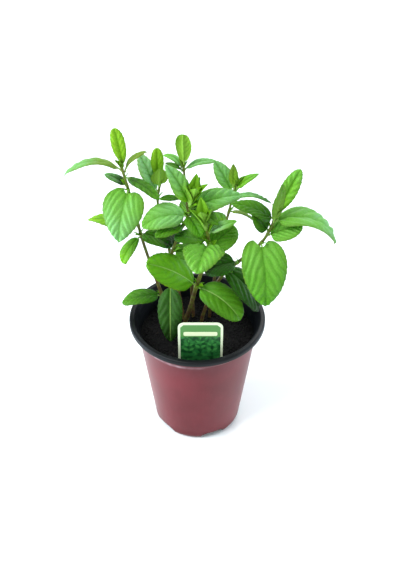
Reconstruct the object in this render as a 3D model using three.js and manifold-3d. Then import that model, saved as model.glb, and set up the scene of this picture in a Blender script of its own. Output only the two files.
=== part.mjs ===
// A young mint plant growing in a tapered nursery pot with a rolled rim.
// Millimetres, +Z up. The origin is the centre of the pot's foot, on the surface it stands on.
// The pot, the soil and the plant label are solids of their own, and so is every stem and every leaf.

import * as THREE from 'three';
import { mergeVertices } from 'three/addons/utils/BufferGeometryUtils.js';
import Module from 'manifold-3d';

const wasm = await Module();
wasm.setup();

// ---------------------------------------------------------------- driving dimensions

const CLEARANCE = 0.35; // gap between neighbouring pieces

const POT_HEIGHT = 128.5;
const RIM_RADIUS = 65;
const LIP_HEIGHT = 5; // how far the rolled rim turns down
const WALL = 1.2;
const FOOT_RADIUS = 38.5;
const HEEL_RADIUS = 43.2; // where the rounded foot meets the straight wall
const HEEL_HEIGHT = 8;
const LEDGE_HEIGHT = 115; // small stacking ledge under the rim
const LEDGE_RADIUS = 57.3;
const LEDGE_STEP = 0.8;
const NECK_RADIUS = 58.8; // wall just under the rolled rim
const POT_SEGMENTS = 50;

const POCKET_COUNT = 5; // raised pockets between the feet
const POCKET_HEIGHT = 4;
const POCKET_INNER_RADIUS = 17;
const POCKET_HALF_ANGLE = 17; // degrees
const FIRST_POCKET = -68; // heading of the first pocket, degrees
const DRAIN_RADIUS = 4;
const DRAIN_AT = 29; // distance of each drain hole from the axis

const SOIL_EDGE = 106; // height of the soil at the wall
const SOIL_CROWN = 110; // height of the soil around the stems
const ROOTING_DEPTH = 14; // how deep the stems run straight down into the soil

const LABEL = {
  centre: [3, -45],
  top: 160,
  width: 41,
  corner: 6,
  shoulder: 112, // height where the head starts to taper
  neck: 14, // width of the stake where the taper ends
  neckHeight: 96,
  point: 70, // height of the tip of the stake
  thickness: 0.8,
};

// ---------------------------------------------------------------- the plant

// Each stem is a route from the soil to its tip, with its half width at the soil and at the tip.
// Each leaf says at what height its node is, which way it heads and how it bows:
//   at      height of the node on the stem
//   heading degrees around +Z from +X
//   rise    slope in degrees at the stalk and at the tip
//   size    length and width
//   roll    turn about the midrib in degrees, which lifts the right-hand edge
//   shape   how the blade narrows to its stalk and to its tip: a small number is blunt, a large one sharp
//   fold    how far both halves lift off the midrib in degrees
const STEMS = [
  {
    name: 'left_stem',
    halfWidth: [1.8, 1.0],
    route: [[-26, 12], [-38, 14, 159], [-49, 15, 203], [-54, 15, 229], [-60, 13, 264], [-65, 12, 290]],
    leaves: [
      { at: 289, heading: 160, rise: [82, 78], size: [36, 13], roll: 70, shape: [0.6, 0.45], fold: 10 },
      { at: 286, heading: -175, rise: [45, -51], size: [55, 15], roll: -8, shape: [0.6, 0.8], fold: 8 },
      { at: 284, heading: 20, rise: [72, 0], size: [27, 11], roll: 10, shape: [0.7, 0.7], fold: 14 },
      { at: 269, heading: 150, rise: [30, -8], size: [23, 12], roll: 0, shape: [0.5, 0.7], fold: 10 },
      { at: 264, heading: -110, rise: [-30, -85], size: [48, 38], roll: 5, shape: [0.3, 0.82], fold: 4 },
      { at: 224, heading: 165, rise: [15, -20], size: [48, 20], roll: 10, shape: [0.45, 0.9], fold: 8 },
      { at: 212, heading: -145, rise: [-20, -75], size: [30, 17], roll: 0, shape: [0.5, 0.4], fold: 8 },
      { at: 215, heading: -26, rise: [12, -30], size: [31, 24], roll: 0, shape: [0.45, 0.6], fold: 8 },
      { at: 143, heading: -170, rise: [18, -30], size: [38, 23], roll: 0, shape: [0.45, 0.6], fold: 5 },
      { at: 278, heading: -31, rise: [3, -38], size: [36, 12], roll: -8, shape: [0.45, 0.5], fold: 8 },
    ],
  },
  {
    name: 'back_left_stem',
    halfWidth: [1.7, 1.0],
    route: [[-14, 17], [-22, 24, 165], [-30, 31, 206], [-36, 35, 236], [-33, 35, 258]],
    leaves: [
      { at: 257, heading: 90, rise: [87, 82], size: [34, 12], roll: 0, shape: [0.7, 0.5], fold: 8 },
      { at: 256, heading: -70, rise: [76, 76], size: [22, 16], roll: 10, shape: [0.4, 0.7], fold: 8 },
      { at: 248, heading: 178, rise: [74, 64], size: [42, 17], roll: 50, shape: [0.55, 0.7], fold: 6 },
      { at: 240, heading: -20, rise: [25, 0], size: [22, 11], roll: 0, shape: [0.5, 0.7], fold: 8 },
      { at: 186, heading: 96, rise: [15, -45], size: [44, 26], roll: 0, shape: [0.4, 0.8], fold: 6 },
    ],
  },
  {
    name: 'back_stem',
    halfWidth: [1.7, 1.0],
    route: [[-4, 20], [-7, 31, 175], [-9, 41, 220], [-11, 48, 250], [-13, 50, 270]],
    leaves: [
      { at: 269, heading: -100, rise: [86, 84], size: [32, 15], roll: 0, shape: [0.6, 0.4], fold: 5 },
      { at: 262, heading: 8, rise: [42, -20], size: [31, 11], roll: 0, shape: [0.6, 0.7], fold: 6 },
      { at: 262, heading: -155, rise: [50, 20], size: [20, 12], roll: 0, shape: [0.5, 0.8], fold: 6 },
      { at: 264, heading: 150, rise: [72, -40], size: [24, 8], roll: 10, shape: [0.5, 0.8], fold: 6 },
      { at: 214, heading: 75, rise: [20, -45], size: [50, 27], roll: 0, shape: [0.4, 0.8], fold: 6 },
    ],
  },
  {
    name: 'middle_stem',
    halfWidth: [1.8, 1.0],
    route: [[-18, 3], [-25, 6, 160], [-24, 6, 195], [-16, 0, 226], [-8, -4, 249], [-4, -5, 268]],
    leaves: [
      { at: 268, heading: 40, rise: [70, 62], size: [19, 8], roll: 0, shape: [0.6, 0.8], fold: 8 },
      { at: 262, heading: 168, rise: [71, 52], size: [42, 17], roll: 45, shape: [0.5, 0.8], fold: 6 },
      { at: 257, heading: 12, rise: [28, -10], size: [47, 24], roll: -20, shape: [0.4, 0.8], fold: 6 },
      { at: 256, heading: -35, rise: [12, -25], size: [30, 18], roll: 0, shape: [0.45, 0.8], fold: 8 },
      { at: 248, heading: -170, rise: [25, -45], size: [42, 26], roll: 25, shape: [0.4, 0.6], fold: 6 },
      { at: 238, heading: -145, rise: [15, -20], size: [29, 18], roll: 5, shape: [0.4, 0.7], fold: 6 },
      { at: 163, heading: -90, rise: [-30, -83], size: [56, 24], roll: -5, shape: [0.45, 0.7], fold: 8 },
      { at: 203, heading: -8, rise: [5, -22], size: [30, 27], roll: 0, shape: [0.4, 0.6], fold: 8 },
      { at: 249, heading: -62, rise: [15, -50], size: [25, 18], roll: 0, shape: [0.4, 0.6], fold: 8 },
    ],
  },
  {
    name: 'back_right_stem',
    halfWidth: [1.7, 1.0],
    route: [[12, 20], [20, 30, 178], [29, 40, 220], [35, 45, 248]],
    leaves: [
      { at: 247, heading: 100, rise: [88, 82], size: [23, 9], roll: 0, shape: [0.6, 0.9], fold: 8 },
      { at: 242, heading: 162, rise: [63, 55], size: [34, 16], roll: 50, shape: [0.6, 0.8], fold: 6 },
      { at: 246, heading: -5, rise: [54, 26], size: [26, 11], roll: -15, shape: [0.5, 0.9], fold: 8 },
      { at: 237, heading: 6, rise: [12, -45], size: [38, 13], roll: 15, shape: [0.45, 0.7], fold: 6 },
      { at: 222, heading: -8, rise: [0, -48], size: [30, 15], roll: 25, shape: [0.4, 0.9], fold: 8 },
      { at: 206, heading: 130, rise: [10, -40], size: [44, 26], roll: 0, shape: [0.4, 0.8], fold: 6 },
    ],
  },
  {
    name: 'right_stem',
    halfWidth: [1.8, 1.0],
    route: [[4, 10], [12, 8, 145], [23, 2, 176], [33, -4, 193], [57, -12, 226], [65, -14, 246], [68, -15, 259]],
    leaves: [
      { at: 258, heading: 8, rise: [72, 64], size: [47, 16], roll: -70, shape: [0.6, 0.6], fold: 8 },
      { at: 252, heading: -60, rise: [72, 84], size: [46, 13], roll: 0, shape: [0.6, 0.8], fold: 8 },
      { at: 253, heading: 178, rise: [40, 5], size: [40, 25], roll: 0, shape: [0.4, 0.8], fold: 6 },
      { at: 250, heading: 2, rise: [30, -80], size: [70, 30], roll: 0, shape: [0.38, 0.7], fold: 6 },
      { at: 236, heading: -8, rise: [38, 8], size: [31, 25], roll: -25, shape: [0.35, 0.45], fold: 5 },
      { at: 240, heading: 180, rise: [62, 42], size: [23, 20], roll: 35, shape: [0.4, 0.6], fold: 8 },
      { at: 225, heading: -80, rise: [-30, -100], size: [61, 41], roll: -5, shape: [0.26, 0.7], fold: 4 },
      { at: 198, heading: -169, rise: [5, -38], size: [30.5, 32], roll: 0, shape: [0.4, 0.6], fold: 6 },
      { at: 186, heading: -28, rise: [-20, -80], size: [50, 31], roll: 0, shape: [0.4, 0.7], fold: 6 },
    ],
  },
  {
    name: 'front_stem',
    halfWidth: [2.4, 1.2],
    route: [[-12, 6], [-6, 2, 140], [-1, -1, 165], [4, -9, 190], [9, -18, 220], [10, -20, 236], [7, -20, 252]],
    leaves: [
      { at: 228, heading: -102, rise: [37, -25], size: [46, 37], roll: 0, shape: [0.35, 0.7], fold: 5 },
      { at: 223, heading: 36, rise: [33, 10], size: [31, 30], roll: -15, shape: [0.38, 0.5], fold: 8 },
      { at: 233, heading: 163, rise: [10, -16], size: [30, 25], roll: 0, shape: [0.4, 0.55], fold: 8 },
      { at: 242, heading: 12, rise: [35, 5], size: [26, 13], roll: 0, shape: [0.55, 0.7], fold: 8 },
      { at: 168, heading: -165, rise: [53, 22], size: [56.5, 32.5], roll: 42, shape: [0.42, 0.5], fold: 5 },
      { at: 166, heading: -32, rise: [10, -55], size: [52, 29], roll: -20, shape: [0.4, 0.5], fold: 5 },
    ],
  },
];

// ---------------------------------------------------------------- materials

const material = (color, roughness) => new THREE.MeshStandardMaterial({ color, roughness, metalness: 0 });
const terracottaPlastic = material(0x83444a, 0.45);
const darkSoil = material(0x17120f, 0.95);
const labelCard = material(0xdfeacb, 0.4);
const greenLeaf = material(0x5aa53a, 0.55);
const youngLeaf = material(0x86bd3a, 0.55);
const stemSkin = material(0x6f7a3c, 0.6);

const plant = new THREE.Group();

function addPiece(name, geometry, surface) {
  const piece = new THREE.Mesh(geometry, surface);
  piece.name = name;
  plant.add(piece);
}

// ---------------------------------------------------------------- solids

const degrees = (angle) => THREE.MathUtils.degToRad(angle);
const point = (radius, height) => new THREE.Vector2(radius, height);

function asSolid(geometry) {
  const bare = geometry.clone();
  bare.deleteAttribute('normal');
  bare.deleteAttribute('uv');
  const merged = mergeVertices(bare, 1e-4);
  return new wasm.Manifold(new wasm.Mesh({
    numProp: 3,
    vertProperties: new Float32Array(merged.attributes.position.array),
    triVerts: new Uint32Array(merged.index.array),
  }));
}

function asGeometry(solid) {
  const mesh = solid.getMesh();
  const geometry = new THREE.BufferGeometry();
  geometry.setAttribute('position', new THREE.BufferAttribute(mesh.vertProperties, 3));
  geometry.setIndex(new THREE.BufferAttribute(mesh.triVerts, 1));
  geometry.computeVertexNormals();
  return geometry;
}

// A solid turned about the pot's axis from a profile of radius and height that starts and ends on it.
function turned(profile) {
  const geometry = new THREE.LatheGeometry(profile, POT_SEGMENTS);
  geometry.rotateX(Math.PI / 2);
  return asSolid(geometry);
}

function cylinder(radius, bottom, top, x, y, sides) {
  const geometry = new THREE.CylinderGeometry(radius, radius, top - bottom, sides);
  geometry.rotateX(Math.PI / 2);
  geometry.translate(x, y, (top + bottom) / 2);
  return asSolid(geometry);
}

// ---------------------------------------------------------------- pot

const heelArc = (inset) => {
  const rise = HEEL_HEIGHT - inset;
  const run = HEEL_RADIUS - FOOT_RADIUS;
  return [0, 0.25, 0.5, 0.75, 1].map((part) => point(
    FOOT_RADIUS - inset + run * Math.sin(part * Math.PI / 2),
    inset + rise * (1 - Math.cos(part * Math.PI / 2)),
  ));
};

// Inside of the pot, drawn in by an inset: the wall thickness, and a little more for the soil.
const cavityProfile = (inset) => [
  point(0, inset),
  ...heelArc(inset),
  point(LEDGE_RADIUS - inset, LEDGE_HEIGHT),
  point(LEDGE_RADIUS + LEDGE_STEP - inset, LEDGE_HEIGHT + LEDGE_STEP),
  point(NECK_RADIUS - inset, POT_HEIGHT - LIP_HEIGHT),
];

// A pocket under the floor, between two feet. A margin makes it larger on every side.
function pocket(index, margin) {
  const heading = degrees(FIRST_POCKET + index * 360 / POCKET_COUNT);
  const spread = (radius) => degrees(POCKET_HALF_ANGLE) + Math.asin(margin / radius);
  const inner = POCKET_INNER_RADIUS - margin;
  const [near, aside] = [inner * Math.cos(spread(inner)), inner * Math.sin(spread(inner))];
  const outline = new THREE.Shape();
  outline.moveTo(near, aside);
  outline.lineTo(near, -aside);
  outline.absarc(0, 0, RIM_RADIUS, -spread(RIM_RADIUS), spread(RIM_RADIUS), false);
  outline.closePath();
  const below = 5;
  const geometry = new THREE.ExtrudeGeometry(outline, {
    depth: POCKET_HEIGHT + margin + below,
    bevelEnabled: false,
    curveSegments: 6,
  });
  geometry.translate(0, 0, -below);
  geometry.rotateZ(heading);
  return asSolid(geometry);
}

const pocketIndices = [...Array(POCKET_COUNT).keys()];

function withoutPockets(solid, margin) {
  return pocketIndices.reduce((rest, index) => rest.subtract(pocket(index, margin)), solid);
}

function makePot() {
  const lip = POT_HEIGHT - LIP_HEIGHT;
  const rim = [
    point(NECK_RADIUS + 2.4, POT_HEIGHT - WALL),
    point(RIM_RADIUS - WALL - 0.6, POT_HEIGHT - WALL),
    point(RIM_RADIUS - WALL, POT_HEIGHT - WALL - 0.6),
    point(RIM_RADIUS - WALL, lip),
    point(RIM_RADIUS, lip),
    point(RIM_RADIUS, POT_HEIGHT - 1.4),
    point(RIM_RADIUS - 0.4, POT_HEIGHT - 0.4),
    point(RIM_RADIUS - 1.4, POT_HEIGHT),
    point(NECK_RADIUS + 2.2, POT_HEIGHT),
    point(0, POT_HEIGHT),
  ];
  const outside = turned([...cavityProfile(0), ...rim]);
  const mouth = [
    point(NECK_RADIUS - WALL, lip),
    point(NECK_RADIUS + 1.2, POT_HEIGHT - 0.8),
    point(NECK_RADIUS + 2.2, POT_HEIGHT + 0.01),
    point(NECK_RADIUS + 2.2, POT_HEIGHT + 5),
    point(0, POT_HEIGHT + 5),
  ];
  const inside = turned([...cavityProfile(WALL).slice(0, -1), ...mouth]);
  const shell = withoutPockets(outside, 0).subtract(withoutPockets(inside, WALL));
  const drains = pocketIndices.map((index) => {
    const heading = degrees(FIRST_POCKET + index * 360 / POCKET_COUNT);
    return cylinder(DRAIN_RADIUS, 1, HEEL_HEIGHT, DRAIN_AT * Math.cos(heading), DRAIN_AT * Math.sin(heading), 16);
  });
  return asGeometry(drains.reduce((rest, drain) => rest.subtract(drain), shell));
}

// ---------------------------------------------------------------- label

function labelOutline(margin) {
  const half = LABEL.width / 2 + margin;
  const neck = LABEL.neck / 2 + margin;
  const corner = LABEL.corner;
  const top = LABEL.top + margin;
  const outline = new THREE.Shape();
  outline.moveTo(0, LABEL.point - margin);
  outline.lineTo(neck, LABEL.neckHeight);
  outline.lineTo(half, LABEL.shoulder);
  outline.absarc(half - corner, top - corner, corner, 0, Math.PI / 2, false);
  outline.absarc(corner - half, top - corner, corner, Math.PI / 2, Math.PI, false);
  outline.lineTo(-half, LABEL.shoulder);
  outline.lineTo(-neck, LABEL.neckHeight);
  outline.closePath();
  return outline;
}

function labelGeometry(margin) {
  const depth = LABEL.thickness + 2 * margin;
  const geometry = new THREE.ExtrudeGeometry(labelOutline(margin), {
    depth,
    bevelEnabled: false,
    curveSegments: 6,
  });
  geometry.rotateX(Math.PI / 2);
  geometry.translate(LABEL.centre[0], LABEL.centre[1] + depth / 2, 0);
  return geometry;
}

// ---------------------------------------------------------------- lofts

// Closes a row of rings of equal size with a point at each end.
function loft(start, rings, end) {
  const sides = rings[0].length;
  const positions = [start, ...rings.flat(), end].flatMap((corner) => corner.toArray());
  const at = (ring, side) => 1 + ring * sides + side % sides;
  const last = 1 + rings.length * sides;
  const index = [];
  for (let side = 0; side < sides; side += 1) {
    index.push(0, at(0, side + 1), at(0, side));
    index.push(last, at(rings.length - 1, side), at(rings.length - 1, side + 1));
    for (let ring = 0; ring + 1 < rings.length; ring += 1) {
      index.push(at(ring, side), at(ring, side + 1), at(ring + 1, side + 1));
      index.push(at(ring, side), at(ring + 1, side + 1), at(ring + 1, side));
    }
  }
  const geometry = new THREE.BufferGeometry();
  geometry.setAttribute('position', new THREE.Float32BufferAttribute(positions, 3));
  geometry.setIndex(index);
  geometry.computeVertexNormals();
  return geometry;
}

// ---------------------------------------------------------------- stems

const STEM_STEP = 7; // length of one straight piece of a stem
const UP = new THREE.Vector3(0, 0, 1);
const CHAMFER = 0.55; // share of a stem's face between its cut corners
const CORNER_REACH = Math.hypot(1, CHAMFER);

function stemCurve(stem) {
  const [[x, y], ...above] = stem.route;
  const rooted = [SOIL_CROWN - ROOTING_DEPTH, SOIL_CROWN - ROOTING_DEPTH / 2, SOIL_CROWN + 2];
  const corners = [...rooted.map((height) => [x, y, height]), ...above];
  return new THREE.CatmullRomCurve3(corners.map((corner) => new THREE.Vector3(...corner)));
}

const stemHalfWidth = (stem, part) => THREE.MathUtils.lerp(stem.halfWidth[0], stem.halfWidth[1], part);

// Mint stems are square, here with cut corners.
function stemRing(centre, tangent, half) {
  const side = new THREE.Vector3(0, 1, 0).cross(tangent).normalize();
  const front = tangent.clone().cross(side);
  const corners = [
    [1, -CHAMFER], [1, CHAMFER], [CHAMFER, 1], [-CHAMFER, 1],
    [-1, CHAMFER], [-1, -CHAMFER], [-CHAMFER, -1], [CHAMFER, -1],
  ];
  return corners.map(([across, along]) => centre.clone()
    .addScaledVector(side, across * half)
    .addScaledVector(front, along * half));
}

function stemGeometry(stem, curve) {
  const steps = Math.round(curve.getLength() / STEM_STEP);
  const rings = [];
  for (let step = 0; step <= steps; step += 1) {
    const part = step / steps;
    rings.push(stemRing(curve.getPointAt(part), curve.getTangentAt(part), stemHalfWidth(stem, part)));
  }
  const [low, high] = stem.halfWidth;
  const bottom = curve.getPointAt(0).addScaledVector(curve.getTangentAt(0), -low);
  const tip = curve.getPointAt(1).addScaledVector(curve.getTangentAt(1), high);
  return loft(bottom, rings, tip);
}

// Where along the stem a node of this height is.
function partAtHeight(curve, height) {
  let low = 0;
  let high = 1;
  for (let round = 0; round < 30; round += 1) {
    const middle = (low + high) / 2;
    if (curve.getPointAt(middle).z < height) low = middle;
    else high = middle;
  }
  return low;
}

// ---------------------------------------------------------------- leaves

const PETIOLE_RADIUS = 0.9;
const PETIOLE_PART = 0.05; // share of a leaf's length that is its stalk
const LEAF_STATIONS = [0.02, 0.08, 0.15, 0.25, 0.38, 0.52, 0.67, 0.81, 0.92];
const PATH_STEPS = 60;

// Width of the blade as a share of its greatest width, from the stalk to the tip.
function bladeWidth(part, [stalk, tip]) {
  const along = (part - PETIOLE_PART) / (1 - PETIOLE_PART);
  if (along <= 0) return 0;
  const spread = (place) => place ** stalk * (1 - place) ** tip;
  return spread(along) / spread(stalk / (stalk + tip));
}

function leafFrame(leaf, part) {
  const heading = degrees(leaf.heading);
  const slope = degrees(THREE.MathUtils.lerp(leaf.rise[0], leaf.rise[1], part));
  const forward = new THREE.Vector3(
    Math.cos(slope) * Math.cos(heading),
    Math.cos(slope) * Math.sin(heading),
    Math.sin(slope),
  );
  const right = new THREE.Vector3(Math.sin(heading), -Math.cos(heading), 0);
  right.applyAxisAngle(forward, -degrees(leaf.roll));
  return { forward, right, normal: right.clone().cross(forward) };
}

// Points of the midrib, one per station, found by walking along the bowed leaf in short steps.
function midrib(leaf, start) {
  const length = leaf.size[0];
  const places = [start.clone()];
  for (let step = 0; step < PATH_STEPS; step += 1) {
    const { forward } = leafFrame(leaf, (step + 0.5) / PATH_STEPS);
    places.push(places[step].clone().addScaledVector(forward, length / PATH_STEPS));
  }
  return (part) => {
    const step = Math.min(Math.floor(part * PATH_STEPS), PATH_STEPS - 1);
    return places[step].clone().lerp(places[step + 1], part * PATH_STEPS - step);
  };
}

// Where a leaf's stalk starts: just clear of the stem's skin, on the side that the leaf leaves it.
function stalkStart(leaf, stem, curve) {
  const node = partAtHeight(curve, leaf.at);
  const tangent = curve.getTangentAt(node);
  const centre = curve.getPointAt(node);
  const { forward } = leafFrame(leaf, 0);
  const outward = forward.clone().addScaledVector(tangent, -forward.dot(tangent)).normalize();
  const skin = Math.max(...stemRing(centre, tangent, stemHalfWidth(stem, node))
    .map((corner) => corner.sub(centre).dot(outward)));
  const firstRing = LEAF_STATIONS[0] * leaf.size[0] * forward.dot(outward);
  const lean = Math.max(0, PETIOLE_RADIUS * Math.abs(forward.dot(tangent)) - firstRing);
  return centre.addScaledVector(outward, skin + CLEARANCE + lean);
}

// A leaf is a thin blade with a raised middle on each half, a sunken midrib and a keel below it.
function leafGeometry(leaf, stem, curve) {
  const rib = midrib(leaf, stalkStart(leaf, stem, curve));
  const rings = LEAF_STATIONS.map((part) => {
    const frame = leafFrame(leaf, part);
    const half = Math.max(PETIOLE_RADIUS, leaf.size[1] / 2 * bladeWidth(part, leaf.shape));
    const blade = Math.min(1, (half - PETIOLE_RADIUS) / 4);
    const fold = degrees(leaf.fold) * blade;
    const keel = -PETIOLE_RADIUS + 0.1 * blade;
    const place = (across, height) => rib(part)
      .addScaledVector(frame.right, across)
      .addScaledVector(frame.normal, height);
    const edge = half * Math.sin(fold);
    const reachOut = half * Math.cos(fold);
    return [
      place(-reachOut, edge),
      place(-reachOut / 2, edge / 2 + 0.7),
      place(0, 0.7 - 0.4 * blade),
      place(reachOut / 2, edge / 2 + 0.7),
      place(reachOut, edge),
      place(0, keel),
    ];
  });
  return loft(rib(0), rings, rib(1));
}

// ---------------------------------------------------------------- assembly

const YOUNG_LEAF_COUNT = 1; // the first leaves listed on each stem are its youngest

function addStem(stem) {
  const curve = stemCurve(stem);
  addPiece(stem.name, stemGeometry(stem, curve), stemSkin);
  stem.leaves.forEach((leaf, order) => {
    const surface = order < YOUNG_LEAF_COUNT ? youngLeaf : greenLeaf;
    addPiece(`${stem.name}_leaf_${order + 1}`, leafGeometry(leaf, stem, curve), surface);
  });
}

// The soil fills the pot to the mound around the stems, with a socket for each stem and the label.
function makeSoil() {
  const inset = WALL + CLEARANCE;
  const slope = (LEDGE_RADIUS - HEEL_RADIUS) / (LEDGE_HEIGHT - HEEL_HEIGHT);
  const edgeRadius = HEEL_RADIUS + slope * (SOIL_EDGE - HEEL_HEIGHT) - inset;
  const body = turned([
    point(0, inset),
    ...heelArc(inset),
    point(edgeRadius, SOIL_EDGE),
    point(edgeRadius * 0.8, SOIL_EDGE + 0.8),
    point(edgeRadius * 0.5, SOIL_CROWN - 0.8),
    point(edgeRadius * 0.25, SOIL_CROWN),
    point(0, SOIL_CROWN),
  ]);
  const sockets = STEMS.map((stem) => {
    const [x, y] = stem.route[0];
    const radius = stem.halfWidth[0] * CORNER_REACH + CLEARANCE;
    const floor = SOIL_CROWN - ROOTING_DEPTH - stem.halfWidth[0] - CLEARANCE;
    return cylinder(radius, floor, SOIL_CROWN + 5, x, y, 12);
  });
  const openings = [...sockets, asSolid(labelGeometry(CLEARANCE))];
  return asGeometry(openings.reduce((rest, opening) => rest.subtract(opening), withoutPockets(body, inset)));
}

addPiece('pot', makePot(), terracottaPlastic);
addPiece('soil', makeSoil(), darkSoil);
addPiece('plant_label', labelGeometry(0), labelCard);
STEMS.forEach(addStem);

export default plant;
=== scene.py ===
# %% [markdown]
# # A potted mint plant
# A young mint plant stands in a nursery pot: a thin tapered pot with a black rolled rim, dark compost,
# seven square stems with leaves in pairs, and a plant label pushed into the compost at the front. The CAD
# model gives every stem and leaf as a plain closed solid. Here each one is read back, made smooth and given
# what a real plant has: teeth, veins, a quilted blade, buds in the axils.

# %% The frame
import math
from functools import partialmethod

import bmesh
import bpy
import numpy as np
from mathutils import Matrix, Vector


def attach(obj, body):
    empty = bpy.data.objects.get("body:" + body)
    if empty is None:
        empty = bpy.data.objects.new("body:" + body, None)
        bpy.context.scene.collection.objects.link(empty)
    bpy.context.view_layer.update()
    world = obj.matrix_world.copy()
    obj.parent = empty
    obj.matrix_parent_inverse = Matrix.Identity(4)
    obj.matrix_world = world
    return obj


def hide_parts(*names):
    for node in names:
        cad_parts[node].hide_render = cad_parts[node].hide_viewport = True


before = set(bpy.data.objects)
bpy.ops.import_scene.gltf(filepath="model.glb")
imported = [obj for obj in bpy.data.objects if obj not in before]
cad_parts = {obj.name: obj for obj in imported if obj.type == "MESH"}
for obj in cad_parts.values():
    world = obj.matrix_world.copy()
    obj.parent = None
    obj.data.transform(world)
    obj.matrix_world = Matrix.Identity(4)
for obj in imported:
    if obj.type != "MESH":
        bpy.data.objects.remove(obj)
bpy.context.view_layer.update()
scene = bpy.context.scene
MM = 0.001
print("CAD nodes:", len(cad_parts))

# %% [markdown]
# ## Camera, lamps and daylight
# The plant is seen from the front and well above, so that the camera looks down on the compost. One bright
# lamp would give hard black shadows under every leaf. A large soft key lamp high on the left, weaker ones
# in front and behind, and cool ones low at both sides show the relief of the leaves and still light the
# shade between them.

# %% Camera
TARGET = Vector((0.0026, 0.0, 0.1666))
ELEVATION = math.radians(40.05)
DISTANCE = 0.9
FOCAL_LENGTH = 61.074

lens = bpy.data.cameras.new("camera")
lens.lens = FOCAL_LENGTH
camera = bpy.data.objects.new("camera", lens)
camera.location = TARGET + DISTANCE * Vector((0, -math.cos(ELEVATION), math.sin(ELEVATION)))
camera.rotation_euler = (math.pi / 2 - ELEVATION, 0, 0)
scene.collection.objects.link(camera)
scene.camera = camera
scene.view_settings.view_transform = "Standard"
print("camera at", [round(side / MM) for side in camera.location], "mm")

# %% Lamps and daylight
WHITE, COOL = (1, 1, 1), (0.72, 0.85, 1)
DAYLIGHT, DAYLIGHT_STRENGTH = (0.92, 0.97, 1, 1), 0.7
LAMPS = {
    "key_lamp": ((-0.75, -0.5, 1.3), 0.6, 17, WHITE),
    "front_lamp": ((0.55, -1.3, 0.9), 0.8, 2, WHITE),
    "back_lamp": ((0.35, 1.0, 1.1), 0.7, 10, WHITE),
    "left_lamp": ((-1.2, 0.0, 0.3), 0.45, 14, COOL),
    "right_lamp": ((1.2, 0.35, 0.4), 0.4, 9, COOL),
}

for name, (stand, size, watts, colour) in LAMPS.items():
    lamp = bpy.data.lights.new(name, "AREA")
    lamp.size, lamp.energy, lamp.color = size, watts, colour
    holder = bpy.data.objects.new(name, lamp)
    holder.location = stand
    holder.rotation_euler = (TARGET - Vector(stand)).to_track_quat("-Z", "Y").to_euler()
    scene.collection.objects.link(holder)

scene.world = bpy.data.worlds.new("daylight")
scene.world.use_nodes = True
sky = scene.world.node_tree.nodes["Background"]
sky.inputs["Color"].default_value = DAYLIGHT
sky.inputs["Strength"].default_value = DAYLIGHT_STRENGTH
print("lamps:", {name: f"{watts} W" for name, (_, _, watts, _) in LAMPS.items()})

# %% [markdown]
# ## Rules written as sums
# Relief on a leaf and colour on a leaf follow the same rules, one in Geometry Nodes and one in a shader.
# Both kinds of tree have the Math node, so a small class lets either be written as ordinary sums: each sign
# adds one node.


# %% Sockets that can be added and multiplied
def plug(tree, socket, value):
    """Gives a socket a number, a colour or a vector, or links it to another socket."""
    value = value.socket if isinstance(value, Field) else value
    if isinstance(value, bpy.types.NodeSocket):
        tree.links.new(value, socket)
    else:
        socket.default_value = value


class Field:
    """A value that differs from point to point."""

    def __init__(self, tree, socket):
        self.tree, self.socket = tree, socket

    def do(self, operation, *others):
        """A Math node that takes this value first."""
        node = self.tree.nodes.new("ShaderNodeMath")
        node.operation = operation
        for socket, value in zip(node.inputs, (self, *others)):
            plug(self.tree, socket, value)
        return Field(self.tree, node.outputs[0])

    __add__ = __radd__ = partialmethod(do, "ADD")
    __sub__ = partialmethod(do, "SUBTRACT")
    __mul__ = __rmul__ = partialmethod(do, "MULTIPLY")
    __truediv__ = partialmethod(do, "DIVIDE")
    __pow__ = partialmethod(do, "POWER")
    size = partialmethod(do, "ABSOLUTE")
    fraction = partialmethod(do, "FRACT")
    above = partialmethod(do, "GREATER_THAN")

    def __neg__(self):
        return self * -1.0

    def __rsub__(self, other):
        return -self + other

    def bell(self, width):
        """1 where the value is 0, falling away on both sides."""
        scaled = self / width
        return (-(scaled * scaled)).do("EXPONENT")

    def ramp(self, low, high):
        """0 below the low value, 1 above the high one, and smooth between."""
        node = self.tree.nodes.new("ShaderNodeMapRange")
        node.interpolation_type = "SMOOTHSTEP"
        for socket, value in zip(node.inputs, (self, low, high, 0.0, 1.0)):
            plug(self.tree, socket, value)
        return Field(self.tree, node.outputs["Result"])


class Nodes:
    """A tree of nodes, with short ways to add to it."""

    def __init__(self, tree):
        self.tree = tree

    def node(self, kind, inputs=None, **settings):
        """A new node, set up and with its sockets filled."""
        node = self.tree.nodes.new(kind)
        for name, value in settings.items():
            setattr(node, name, value)
        for name, value in (inputs or {}).items():
            plug(self.tree, node.inputs[name], value)
        return node

    def out(self, kind, inputs=None, **settings):
        """The first thing that a new node gives."""
        return self.node(kind, inputs, **settings).outputs[0]

    def value(self, socket):
        """A socket as a value that can be added and multiplied."""
        return Field(self.tree, socket)

    def field(self, kind, inputs=None, **settings):
        """The first thing that a new node gives, as such a value."""
        return self.value(self.out(kind, inputs, **settings))


# %% [markdown]
# ## Trees of Geometry Nodes
# A tree is given its sizes through named inputs. It is run on a blank mesh and the result is kept as a
# plain mesh, so that nothing about the finished piece stays live.


# %% Making a tree
KINDS = {
    float: "NodeSocketFloat",
    int: "NodeSocketInt",
    bpy.types.Material: "NodeSocketMaterial",
    bpy.types.Object: "NodeSocketObject",
}


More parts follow.
